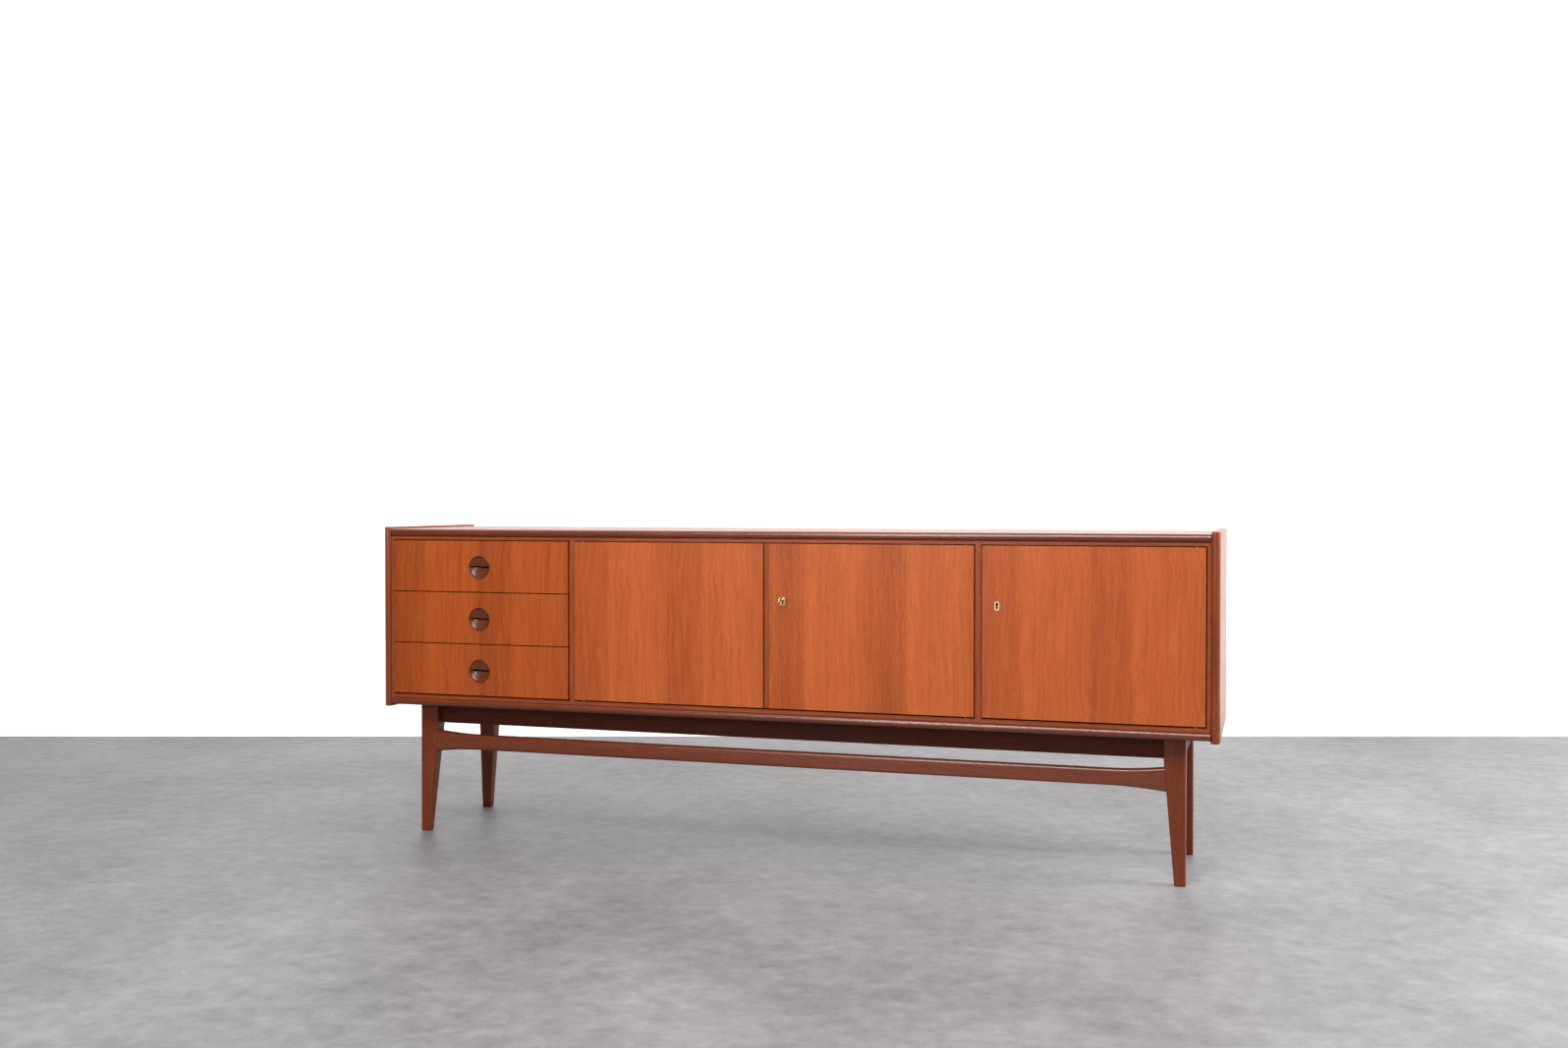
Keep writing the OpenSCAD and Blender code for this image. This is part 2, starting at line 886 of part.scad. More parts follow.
// A leg's outline. Its outer edge is upright at 0 and its inner edge tapers below the rails.
module leg_outline(top, foot, toward) {
    polygon([[0, 0], [toward * foot, 0], [toward * top, rail_z0], [toward * top, bottom_z0],
        [0, bottom_z0]]);
}

// side is -1 for left and 1 for right, end is -1 for front and 1 for rear.
module leg_solid(side, end) {
    intersection() {
        translate([side * leg_x, 0, 0])
            rotate([90, 0, 0])
                linear_extrude(2 * total_d, center = true)
                    leg_outline(leg_top_w, leg_foot_w, -side);
        translate([side * leg_x, end < 0 ? leg_front_y : leg_rear_y, 0])
            rotate([90, 0, 90])
                linear_extrude(4 * leg_top_w, center = true)
                    leg_outline(leg_top_d, leg_foot_d, -end);
    }
}

module rail_tenons(gap) {
    z0 = rail_z0 + tenon_in - gap;
    z1 = bottom_z0 - tenon_in + gap;
    x = rail_end_x + tenon_l + gap;
    for (y = [leg_front_y + rail_back + rail_t / 2, leg_rear_y - rail_back - rail_t / 2])
        block([-x, y - tenon_t / 2 - gap, z0], [x, y + tenon_t / 2 + gap, z1]);
}

module side_rail_tenons(gap) {
    z0 = rail_z0 + tenon_in - gap;
    z1 = bottom_z0 - tenon_in + gap;
    for (side = [-1, 1]) {
        x = side * (leg_x - side_rail_in - rail_t / 2);
        block([x - tenon_t / 2 - gap, side_rail_y0 - tenon_l - gap, z0],
            [x + tenon_t / 2 + gap, side_rail_y1 + tenon_l + gap, z1]);
    }
}

module stretcher_tenons(gap) {
    x = rail_end_x + tenon_l + gap;
    y = leg_front_y + stretcher_in + stretcher_t / 2;
    block([-x, y - tenon_t / 2 - gap, stretcher_z - tenon_l - gap],
        [x, y + tenon_t / 2 + gap, stretcher_z + tenon_l + gap]);
}

module leg(side, end) {
    color(wood_mid)
        difference() {
            leg_solid(side, end);
            rail_tenons(eps);
            side_rail_tenons(eps);
            if (end < 0)
                stretcher_tenons(eps);
        }
}

module leg_front_left() {
    leg(-1, -1);
}

module leg_front_right() {
    leg(1, -1);
}

module leg_rear_left() {
    leg(-1, 1);
}

module leg_rear_right() {
    leg(1, 1);
}

// A rail between two legs, with a tenon at each end.
module cross_rail(y0) {
    z0 = rail_z0 + tenon_in;
    x = rail_end_x + tenon_l;
    y = y0 + rail_t / 2;
    color(wood_dark)
        difference() {
            union() {
                block([-rail_end_x, y0, rail_z0], [rail_end_x, y0 + rail_t, bottom_z0]);
                block([-x, y - tenon_t / 2, z0], [x, y + tenon_t / 2, bottom_z0 - tenon_in]);
            }
            frame_screw_places()
                screw_hole();
        }
}

module rail_front() {
    cross_rail(leg_front_y + rail_back);
}

module rail_rear() {
    cross_rail(leg_rear_y - rail_back - rail_t);
}

module side_rail(side) {
    x = side * (leg_x - side_rail_in - rail_t / 2);
    color(wood_dark)
        difference() {
            union() {
                block([x - rail_t / 2, side_rail_y0, rail_z0],
                    [x + rail_t / 2, side_rail_y1, bottom_z0]);
                block([x - tenon_t / 2, side_rail_y0 - tenon_l, rail_z0 + tenon_in],
                    [x + tenon_t / 2, side_rail_y1 + tenon_l, bottom_z0 - tenon_in]);
            }
            frame_screw_places()
                screw_hole();
        }
}

module side_rail_left() {
    side_rail(-1);
}

module side_rail_right() {
    side_rail(1);
}

// The stretcher's front outline around its centre line. Large arcs flare both ends.
module stretcher_outline() {
    half_l = leg_x - leg_foot_w;
    half_h = stretcher_h / 2;
    flare_x = rail_end_x - flare_l;
    tall = half_h + 2 * stretcher_flare;
    difference() {
        square([2 * half_l, 2 * tall], center = true);
        for (up = [-1, 1]) {
            translate([0, up * (half_h + tall)])
                square([2 * flare_x, 2 * tall], center = true);
            for (x = [-flare_x, flare_x])
                translate([x, up * (half_h + flare_r)])
                    circle(flare_r, $fn = 720);
        }
    }
}

module stretcher_front() {
    y = leg_front_y + stretcher_in + stretcher_t / 2;
    color(wood_mid)
        union() {
            difference() {
                translate([0, y, stretcher_z])
                    rotate([90, 0, 0])
                        linear_extrude(stretcher_t, center = true)
                            stretcher_outline();
                for (side = [-1, 1])
                    leg_solid(side, -1);
            }
            stretcher_tenons(0);
        }
}

// ---- screws ----

// A slotted countersunk screw that points down, with the top of its head at the origin.
module wood_screw() {
    head_h = screw_head_r - screw_r;
    difference() {
        union() {
            translate([0, 0, -head_h])
                cylinder(r1 = screw_r - eps, r2 = screw_head_r - eps, h = head_h);
            translate([0, 0, -screw_l])
                cylinder(r = screw_r - eps, h = screw_l - head_h / 2);
        }
        block([-screw_head_r, -0.5, -0.9], [screw_head_r, 0.5, over]);
    }
}

module screw_hole() {
    head_h = screw_head_r - screw_r;
    translate([0, 0, -head_h])
        cylinder(r1 = screw_r, r2 = screw_head_r + over, h = head_h + over);
    translate([0, 0, -screw_l - over])
        cylinder(r = screw_r, h = screw_l);
}

module frame_screw_places() {
    side_x = leg_x - side_rail_in - rail_t / 2;
    for (y = [leg_front_y + rail_back + rail_t / 2, leg_rear_y - rail_back - rail_t / 2])
        for (k = [-2 : 2])
            translate([k * 0.39 * total_w / 2, y, bottom_z1])
                children();
    for (x = [-side_x, side_x])
        for (y = [side_rail_y0 + 60, side_rail_y1 - 60])
            translate([x, y, bottom_z1])
                children();
}

module back_screw_places() {
    for (z = [bottom_z1 - rabbet / 2, top_z0 + rabbet / 2])
        for (k = [-4 : 4])
            translate([k * 0.235 * inner_x, back_y1, z])
                rotate([-90, 0, 0])
                    children();
}

module wood_screws() {
    color(metal_steel) {
        frame_screw_places()
            wood_screw();
        back_screw_places()
            wood_screw();
    }
}

side_panel_left();
side_panel_right();
side_lipping_left();
side_lipping_right();
top_panel();
top_lipping();
bottom_panel();
bottom_lipping();
inner_strips();
divider_left();
divider_right();
divider_lippings();
back_panel();
shelf_middle();
shelf_right();
shelf_pins();
drawer_runners();
door_stops();
case_hinge_leaves();
leg_front_left();
leg_front_right();
leg_rear_left();
leg_rear_right();
rail_front();
rail_rear();
side_rail_left();
side_rail_right();
stretcher_front();
wood_screws();
drawer_1_front();
drawer_1_pull();
drawer_1_sides();
drawer_1_back();
drawer_1_bottom();
drawer_2_front();
drawer_2_pull();
drawer_2_sides();
drawer_2_back();
drawer_2_bottom();
drawer_3_front();
drawer_3_pull();
drawer_3_sides();
drawer_3_back();
drawer_3_bottom();
door_1_panel();
door_1_hinge_leaves();
door_1_closing_strip();
door_1_bolt_plate();
door_1_bolt();
door_2_panel();
door_2_hinge_leaves();
door_2_lock_case();
door_2_bolt();
door_2_escutcheon();
door_2_key();
door_3_panel();
door_3_hinge_leaves();
door_3_lock_case();
door_3_bolt();
door_3_escutcheon();
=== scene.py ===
"""The sideboard's look: finer wood parts, pulls, key and plates, materials, light and camera."""

import math

import bmesh
import bpy
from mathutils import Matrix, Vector


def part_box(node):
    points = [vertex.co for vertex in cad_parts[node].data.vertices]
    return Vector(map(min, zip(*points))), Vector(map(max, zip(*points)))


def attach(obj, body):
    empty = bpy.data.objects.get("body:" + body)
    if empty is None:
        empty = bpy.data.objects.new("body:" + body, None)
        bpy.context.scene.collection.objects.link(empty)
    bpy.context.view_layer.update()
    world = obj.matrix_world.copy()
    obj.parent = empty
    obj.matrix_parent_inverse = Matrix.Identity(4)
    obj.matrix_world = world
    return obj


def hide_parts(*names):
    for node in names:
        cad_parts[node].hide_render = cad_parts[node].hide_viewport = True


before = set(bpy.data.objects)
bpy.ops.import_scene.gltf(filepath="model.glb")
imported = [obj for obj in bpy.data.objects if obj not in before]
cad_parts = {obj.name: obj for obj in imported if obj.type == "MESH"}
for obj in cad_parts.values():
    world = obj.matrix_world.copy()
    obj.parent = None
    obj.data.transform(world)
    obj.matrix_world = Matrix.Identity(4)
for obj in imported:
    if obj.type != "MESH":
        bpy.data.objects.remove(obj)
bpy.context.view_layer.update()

DRAWERS = ("drawer_1", "drawer_2", "drawer_3")
DOORS = ("door_1", "door_2", "door_3")

# ---- sizes in metres, angles in degrees ----

# lippings: how the section and the ends are rounded
NOSE_STEPS = 18
LIPPING_BACK_EASE = 0.0006
LIPPING_END_EASE = 0.0015
LIPPING_SEGMENTS = 40

# legs: width and depth above the taper and at the floor, and where the taper starts
LEG_TOP = (0.049, 0.041)
LEG_FOOT = (0.025, 0.022)
LEG_STRAIGHT_Z = 0.284
LEG_RINGS = 12
LEG_EDGE_R = 0.0035
LEG_EDGE_GROWTH = 0.001
FOOT_EASE = 0.002
FOOT_STEPS = 4

# stretcher: a straight bar whose ends flare to the legs and run on into them
STRETCHER_Z = 0.2385
STRETCHER_HALF_H = 0.0195
STRETCHER_EDGE_R = 0.007
STRETCHER_SEGMENTS = 20
STRETCHER_INSIDE = 0.012
STRETCHER_FLARE = 0.008
FLARE_LENGTH = 0.125
FLARE_RUNOUT = 0.004
FLARE_SEGMENTS = 16
FLARE_X = 0.801

# pulls: depths are measured back from the drawer front
PULL_R = 0.030
PULL_BEAD = 0.0014
PULL_BEAD_STEPS = 12
PULL_BODY_R = 0.0284
PULL_BACK = 0.0135
PULL_RIM_STEP = 0.0006
PULL_BOWL_INSET = 0.0009
# the bowl's wall and floor, as (inset from the bowl's radius, depth)
PULL_BOWL = ((0.0, 0.0012), (0.0002, 0.0050), (0.0040, 0.0105), (0.0100, 0.0125))
PULL_BOWL_FLOOR = 0.0127
PULL_RIM_STEP_DEPTH = 0.0008
PULL_FACE_DEPTH = 0.0012
PULL_FACE_OVERLAP = 0.0002
PULL_GAP_TOP = 0.0032
PULL_GAP_LOW = 0.0014
PULL_LIP_DIP = 0.0034
PULL_SCOOP_DIP = 0.0084
PULL_DISH_POWER = 1.6
PULL_SHELL = 0.0022
PULL_NOSE = 0.0003
PULL_WAVE = 0.0010
# faces of a pull deeper than this get painted shadow: a dark material that stands in for the
# shade in its cavity
PULL_PAINTED_SHADOW_DEPTH = 0.0100
PULL_COLUMNS = 40
PULL_SPREAD = 0.985
PULL_STEPS = (1.0, 0.92, 0.82, 0.7, 0.55, 0.4, 0.25, 0.12, 0.04, 0.0)

# key: a ring of round wire for a bow, on a shaft with two collars
KEY_SLANT = 45
KEY_STEPS = 32
BOW_ACROSS = 0.0104
BOW_AHEAD = 0.0098
BOW_MID_R = 0.0102
BOW_WIRE = 0.0023
BOW_WIRE_LIFT = 0.0015
BOW_FROM_TIP = 0.0127
BOW_TO_NECK = 0.0095
BOW_STEPS = 56
BOW_WIRE_STEPS = 14
SHAFT_R = 0.0025
# the outer collar, as (radius, distance behind the neck)
NECK_COLLAR = ((0.0018, 0.0), (0.0030, 0.0010), (0.0032, 0.0018), (0.0024, 0.0030))
# the inner collar, as (radius, distance before the door's face)
DOOR_COLLAR = ((0.0021, 0.0034), (0.0038, 0.0028), (0.0041, 0.0020), (0.0038, 0.0010),
               (SHAFT_R, 0.0005))


# edges sharper than this are shaded as edges
SMOOTH = 32
FRAME_SMOOTH = 25
PULL_SMOOTH = 40
KEY_SMOOTH = 50


# ---- mesh helpers ----

def finish_mesh(bm, name, smooth_deg=SMOOTH):
    """A mesh object from bm, smooth except over edges sharper than smooth_deg."""
    bmesh.ops.recalc_face_normals(bm, faces=bm.faces)
    limit = math.radians(smooth_deg)
    for face in bm.faces:
        face.smooth = True
    for edge in bm.edges:
        edge.smooth = len(edge.link_faces) == 2 and edge.calc_face_angle(0) < limit
    mesh = bpy.data.meshes.new(name)
    bm.to_mesh(mesh)
    bm.free()
    obj = bpy.data.objects.new(name, mesh)
    bpy.context.scene.collection.objects.link(obj)
    return obj


def loft(bm, rings):
    """Joins rings of equally many points into a skin that is closed at both ends."""
    rows = [[bm.verts.new(p) for p in ring] for ring in rings]
    count = len(rows[0])
    for a, b in zip(rows, rows[1:]):
        for i in range(count):
            j = (i + 1) % count
            bm.faces.new((a[i], a[j], b[j], b[i]))
    bm.faces.new(rows[0])
    bm.faces.new(rows[-1])


def rounded_rect(u0, u1, v0, v1, radius, steps=5):
    """Corner-rounded rectangle as (u, v) points, the same count for any size."""
    points = []
    corners = (
        (u1 - radius, v1 - radius, 0),
        (u0 + radius, v1 - radius, 90),
        (u0 + radius, v0 + radius, 180),
        (u1 - radius, v0 + radius, 270),
    )
    for cu, cv, start in corners:
        for k in range(steps + 1):
            angle = math.radians(start + 90 * k / steps)
            points.append((cu + radius * math.cos(angle), cv + radius * math.sin(angle)))
    return points


def bullnose(u0, u1, v0, v1):
    """A section whose end at v0 is half round, over the width u0 to u1."""
    radius = (u1 - u0) / 2
    mid = (u0 + u1) / 2
    back = LIPPING_BACK_EASE
    points = [(u0 + back, v1), (u0, v1 - back)]
    for k in range(NOSE_STEPS + 1):
        angle = math.pi * (1 + k / NOSE_STEPS)
        points.append((mid + radius * math.cos(angle), v0 + radius + radius * math.sin(angle)))
    points += [(u1, v1 - back), (u1 - back, v1)]
    return points


def shrink(points, amount):
    """The points pulled towards their middle by amount."""
    mid_u = sum(p[0] for p in points) / len(points)
    mid_v = sum(p[1] for p in points) / len(points)
    half_u = max(abs(p[0] - mid_u) for p in points)
    half_v = max(abs(p[1] - mid_v) for p in points)
    return [
        (mid_u + (u - mid_u) * (1 - amount / half_u), mid_v + (v - mid_v) * (1 - amount / half_v))
        for u, v in points
    ]


def eased_ends(section, start, end, radius, place, steps=3):
    """Rings of a bar from start to end whose end edges are rounded by radius."""
    rings = []
    for k in range(steps + 1):
        angle = math.pi / 2 * k / steps
        inset = radius * (1 - math.sin(angle))
        rings.append(place(shrink(section, inset), start + radius * (1 - math.cos(angle))))
    for k in range(steps, -1, -1):
        angle = math.pi / 2 * k / steps
        inset = radius * (1 - math.sin(angle))
        rings.append(place(shrink(section, inset), end - radius * (1 - math.cos(angle))))
    return rings


# ---- node helpers ----

class Nodes:
    """A short way to add and join nodes in a material."""

    def __init__(self, name):
        self.material = bpy.data.materials.new(name)
        self.material.use_nodes = True
        self.tree = self.material.node_tree
        self.tree.nodes.clear()
        self.shader = self.tree.nodes.new("ShaderNodeBsdfPrincipled")
        out = self.tree.nodes.new("ShaderNodeOutputMaterial")
        self.tree.links.new(self.shader.outputs[0], out.inputs[0])

    def put(self, socket, value):
        if isinstance(value, bpy.types.NodeSocket):
            self.tree.links.new(value, socket)
        else:
            socket.default_value = value

    def add(self, kind, inputs=None, **settings):
        node = self.tree.nodes.new(kind)
        for key, value in settings.items():
            setattr(node, key, value)
        for key, value in (inputs or {}).items():
            self.put(node.inputs[key], value)
        return node

    def math(self, operation, a, b=0.0, clamp=False):
        node = self.add("ShaderNodeMath", {0: a, 1: b}, operation=operation, use_clamp=clamp)
        return node.outputs[0]

    def object_xyz(self):
        coords = self.add("ShaderNodeTexCoord").outputs["Object"]
        return self.add("ShaderNodeSeparateXYZ", {0: coords}).outputs

    def vector(self, x, y, z):
        return self.add("ShaderNodeCombineXYZ", {0: x, 1: y, 2: z}).outputs[0]

    def noise(self, vector, scale, detail=2.0, rough=0.5, distort=0.0):
        node = self.add(
            "ShaderNodeTexNoise",
            {"Vector": vector, "Scale": scale, "Detail": detail, "Roughness": rough,
             "Distortion": distort},
        )
        return node.outputs["Fac"]

    def ramp(self, fac, stops):
        node = self.add("ShaderNodeValToRGB", {"Fac": fac})
        elements = node.color_ramp.elements
        while len(elements) < len(stops):
            elements.new(0.5)
        for element, (place, colour) in zip(elements, stops):
            element.position = place
            element.color = (*colour, 1.0)
        return node.outputs["Color"]

    def level(self, fac, stops):
        return self.ramp(fac, [(place, (v, v, v)) for place, v in stops])

    def mix(self, kind, fac, a, b):
        node = self.add("ShaderNodeMix", data_type="RGBA", blend_type=kind)
        self.put(node.inputs[0], fac)
        self.put(node.inputs[6], a)
        self.put(node.inputs[7], b)
        return node.outputs[2]

    def map_range(self, value, low, high):
        node = self.add("ShaderNodeMapRange", {"Value": value, "To Min": low, "To Max": high})
        return node.outputs["Result"]

    def stretched_noise(self, along, across, depth, field):
        """Noise drawn out along the grain. field is (stretch, scale, detail, roughness)."""
        stretch, scale, detail, rough = field
        point = self.vector(self.math("MULTIPLY", along, stretch), across, depth)
        return self.noise(point, scale, detail, rough)

    def swing(self, value, amount):
        """A value from 0 to 1 made to swing about 0, scaled by amount."""
        return self.math("MULTIPLY", self.math("SUBTRACT", value, 0.5), amount)

    def bump(self, height, distance, strength):
        node = self.add(
            "ShaderNodeBump", {"Height": height, "Distance": distance, "Strength": strength}
        )
        self.put(self.shader.inputs["Normal"], node.outputs[0])


def srgb(*rgb):
    """Linear colour from 0-255 sRGB values."""
    return tuple(
        (c / 255) / 12.92 if c / 255 <= 0.04045 else (((c / 255) + 0.055) / 1.055) ** 2.4
        for c in rgb
    )


GRAIN_AXES = {"x": (0, 1, 2), "y": (1, 0, 2), "z": (2, 0, 1)}

# noise fields of the wood: stretch along the grain, scale, detail, roughness
SWAY_FIELD = (2.8, 2.6, 3.0, 0.55)
BROAD_FIELD = (0.08, 18.0, 2.0, 0.5)
RING_FIELD = (0.05, 130.0, 4.0, 0.65)
FIBRE_FIELD = (0.04, 1000.0, 2.0, 0.6)
PORE_FIELD = (0.05, 2400.0, 1.0, 0.5)
JOINT_FIELD = (0.6, 60.0, 2.0, 0.6)
SMUDGE_FIELD = (1.0, 9.0, 3.0, 0.6)

# how much each of them does to the place or the tone of the figure
SWAY_WIDTH = 0.045
BROAD_TONE = 0.7
RING_TONE = 1.55
FIBRE_TONE = 0.6
JOINT_WANDER = 0.03

# pores: the noise levels between which one opens, its darkness, dullness and depth
PORE_LEVELS = [(0.57, 0.0), (0.68, 1.0)]
PORE_SHADE = 0.4
PORE_COVER = 0.34
PORE_DULLNESS = 0.12
FIBRE_HEIGHT = 0.35
WOOD_RELIEF = 0.00008
WOOD_RELIEF_STRENGTH = 0.7

# how far the lacquer's roughness varies below and above its mean
GLOSS_BELOW = 0.04
GLOSS_ABOVE = 0.07

# steps between the boards of two materials, per unit of seed
SEED_ACROSS = 1.37
SEED_DEPTH = 0.71

# how far the figure moves on from one veneer leaf to the next
LEAF_STEP = 0.0004
# lightness across one veneer leaf
LEAF_BANDS = [
    (0.00, 0.34), (0.20, 0.40), (0.35, 0.45), (0.41, 0.68), (0.48, 0.60), (0.75, 0.61),
    (0.92, 0.55), (1.00, 0.48),
]


def wood(name, dark, light, grain="z", seed=0.0, leaves=None, gloss=0.33, figure=0.65,
         pores=1.0, turned=None, shine=0.45):
    """Lacquered open-grained wood. grain is the axis that it runs along.

    figure is how strong its rings are, pores how many open pores show, gloss its mean
    roughness and shine its specular level. leaves is (left edge, leaf width) of a front laid
    with slip-matched veneer leaves, which repeat one figure. turned is how far from the middle
    of a frame its upright strips begin.
    """
    n = Nodes(name)
    xyz = n.object_xyz()
    along, across, depth = (xyz[i] for i in GRAIN_AXES[grain])
    if turned:
        upright = n.math("GREATER_THAN", n.math("ABSOLUTE", xyz[0]), turned)
        swap = n.math("MULTIPLY", upright, n.math("SUBTRACT", xyz[2], xyz[0]))
        along = n.math("ADD", xyz[0], swap)
        across = n.math("SUBTRACT", xyz[2], swap)
    if leaves:
        count = n.math("DIVIDE", n.math("SUBTRACT", across, leaves[0]), leaves[1])
        place = n.math("FRACT", count)
        across = n.math("MULTIPLY", place, leaves[1])
        depth = n.math("ADD", depth, n.math("MULTIPLY", n.math("FLOOR", count), LEAF_STEP))
    across = n.math("ADD", across, seed * SEED_ACROSS)
    depth = n.math("ADD", depth, seed * SEED_DEPTH)
    # the figure wanders slowly across the board along its length
    sway = n.stretched_noise(along, across, depth, SWAY_FIELD)
    swayed = n.math("ADD", across, n.swing(sway, SWAY_WIDTH))
    broad = n.stretched_noise(along, swayed, depth, BROAD_FIELD)
    rings = n.stretched_noise(along, swayed, depth, RING_FIELD)
    fibre = n.stretched_noise(along, across, depth, FIBRE_FIELD)
    pore = n.level(n.stretched_noise(along, across, depth, PORE_FIELD), PORE_LEVELS)
    tone = n.math("ADD", n.swing(broad, BROAD_TONE * figure), n.swing(rings, RING_TONE * figure))
    tone = n.math("ADD", tone, n.swing(fibre, FIBRE_TONE))
    if leaves:
        ragged = n.swing(n.stretched_noise(along, across, depth, JOINT_FIELD), JOINT_WANDER)
        tone = n.math("ADD", tone, n.level(n.math("ADD", place, ragged), LEAF_BANDS))
    else:
        tone = n.math("ADD", tone, 0.5)
    colour = n.mix("MIX", n.math("MULTIPLY", tone, 1.0, clamp=True), (*dark, 1), (*light, 1))
    darker = tuple(c * PORE_SHADE for c in dark)
    cover = n.math("MULTIPLY", pore, PORE_COVER * pores)
    n.put(n.shader.inputs["Base Color"], n.mix("MIX", cover, colour, (*darker, 1)))
    smudge = n.stretched_noise(along, across, depth, SMUDGE_FIELD)
    rough = n.map_range(smudge, gloss - GLOSS_BELOW, gloss + GLOSS_ABOVE)
    rough = n.math("ADD", rough, n.math("MULTIPLY", pore, PORE_DULLNESS * pores))
    n.put(n.shader.inputs["Roughness"], rough)
    n.put(n.shader.inputs["Specular IOR Level"], shine)
    height = n.math("MULTIPLY", fibre, FIBRE_HEIGHT)
    height = n.math("SUBTRACT", height, n.math("MULTIPLY", pore, pores))
    n.bump(height, WOOD_RELIEF, WOOD_RELIEF_STRENGTH)
    return n.material


# metal: noise scale, detail and roughness of the tarnish and of the scratches
TARNISH_NOISE = (160.0, 4.0, 0.6)
SCRATCH_NOISE = (2600.0, 2.0, 0.7)
TARNISH_LEVELS = [(0.38, 0.0), (0.68, 1.0)]
TARNISH_HEIGHT = 2.0
POLISH_BELOW = 0.06
POLISH_ABOVE = 0.14
METAL_RELIEF = 0.00004
METAL_RELIEF_STRENGTH = 0.6


def metal(name, colour, rough, tarnish):
    """Cast or drawn metal with fine scratches and uneven tarnish."""
    n = Nodes(name)
    coords = n.add("ShaderNodeTexCoord").outputs["Object"]
    cloud = n.noise(coords, *TARNISH_NOISE)
    scratch = n.noise(coords, *SCRATCH_NOISE)
    dull = tuple(c * tarnish for c in colour)
    mask = n.level(cloud, TARNISH_LEVELS)
    n.put(n.shader.inputs["Base Color"], n.mix("MIX", mask, (*colour, 1), (*dull, 1)))
    n.put(n.shader.inputs["Metallic"], 1.0)
    rough = n.map_range(cloud, rough - POLISH_BELOW, rough + POLISH_ABOVE)
    n.put(n.shader.inputs["Roughness"], rough)
    height = n.math("ADD", scratch, n.math("MULTIPLY", cloud, TARNISH_HEIGHT))
    n.bump(height, METAL_RELIEF, METAL_RELIEF_STRENGTH)
    return n.material


# ---- materials ----

TEAK_DARK = srgb(148, 60, 17)
TEAK_LIGHT = srgb(216, 109, 47)
# the drawers' veneer is darker than the doors': partly its own tone, partly painted shade for the
# light falling off towards the left end
DRAWER_TONE_SHADED_DARK = srgb(128, 48, 8)
DRAWER_TONE_SHADED_LIGHT = srgb(206, 98, 32)
CASE_DARK = srgb(112, 48, 20)
CASE_LIGHT = srgb(184, 94, 46)
SOLID_DARK = srgb(72, 27, 10)
SOLID_LIGHT = srgb(138, 60, 24)
EDGE_DARK = srgb(92, 38, 14)
EDGE_LIGHT = srgb(166, 80, 38)
STRIP_DARK = srgb(110, 46, 16)
STRIP_LIGHT = srgb(182, 88, 42)
# the rails' colours: the wood's own dark tone, darkened further by painted shade for the shadow
# under the case
RAIL_PAINTED_SHADE_DARK = srgb(50, 18, 6)
RAIL_PAINTED_SHADE_LIGHT = srgb(104, 42, 16)
LEG_DARK = srgb(84, 32, 8)
LEG_LIGHT = srgb(144, 62, 20)
INNER_DARK = srgb(176, 138, 92)
INNER_LIGHT = srgb(226, 198, 150)
PULL_DARK = srgb(66, 26, 8)
PULL_LIGHT = srgb(134, 64, 30)
# painted shadow: near-black wood that stands in for the shade deep in a pull's cavity
CAVITY_PAINTED_SHADOW_DARK = srgb(26, 10, 4)
CAVITY_PAINTED_SHADOW_LIGHT = srgb(44, 18, 8)

FRONT_FIGURE = 0.6
INNER_FIGURE = 0.4
INNER_PORES = 0.3
# beyond this the strips of the frame stand upright
UPRIGHT_STRIP_X = 1.021


def front_wood(name, node, seed, dark=TEAK_DARK, light=TEAK_LIGHT):
    """The veneer of a front: two leaves of one figure side by side."""
    low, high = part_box(node)
    leaves = (low.x - LEAF_STEP, (high.x - low.x) / 2 + LEAF_STEP)
    return wood(name, dark, light, "z", seed, leaves, figure=FRONT_FIGURE)


FRONT = {
    "drawer": front_wood("drawer_front_veneer", "drawer_1_front", 1.0, DRAWER_TONE_SHADED_DARK,
                         DRAWER_TONE_SHADED_LIGHT),
    "door_1": front_wood("door_1_veneer", "door_1_panel", 2.0),
    "door_2": front_wood("door_2_veneer", "door_2_panel", 2.3),
    "door_3": front_wood("door_3_veneer", "door_3_panel", 2.6),
}
CASE_X = wood("case_veneer_along", CASE_DARK, CASE_LIGHT, "x", 3.0, gloss=0.26)
CASE_Z = wood("case_veneer_upright", CASE_DARK, CASE_LIGHT, "z", 4.0, gloss=0.3, shine=0.35)
SOLID_X = wood("solid_teak_along", SOLID_DARK, SOLID_LIGHT, "x", 5.0, gloss=0.17, shine=0.75)
SOLID_Z = wood("solid_teak_upright", EDGE_DARK, EDGE_LIGHT, "z", 6.0, gloss=0.24)
STRIPS = wood("strip_teak", STRIP_DARK, STRIP_LIGHT, "x", 5.5, gloss=0.3,
              turned=UPRIGHT_STRIP_X)
DIVIDER_Z = wood("divider_edge_teak", STRIP_DARK, STRIP_LIGHT, "z", 6.5, gloss=0.3)
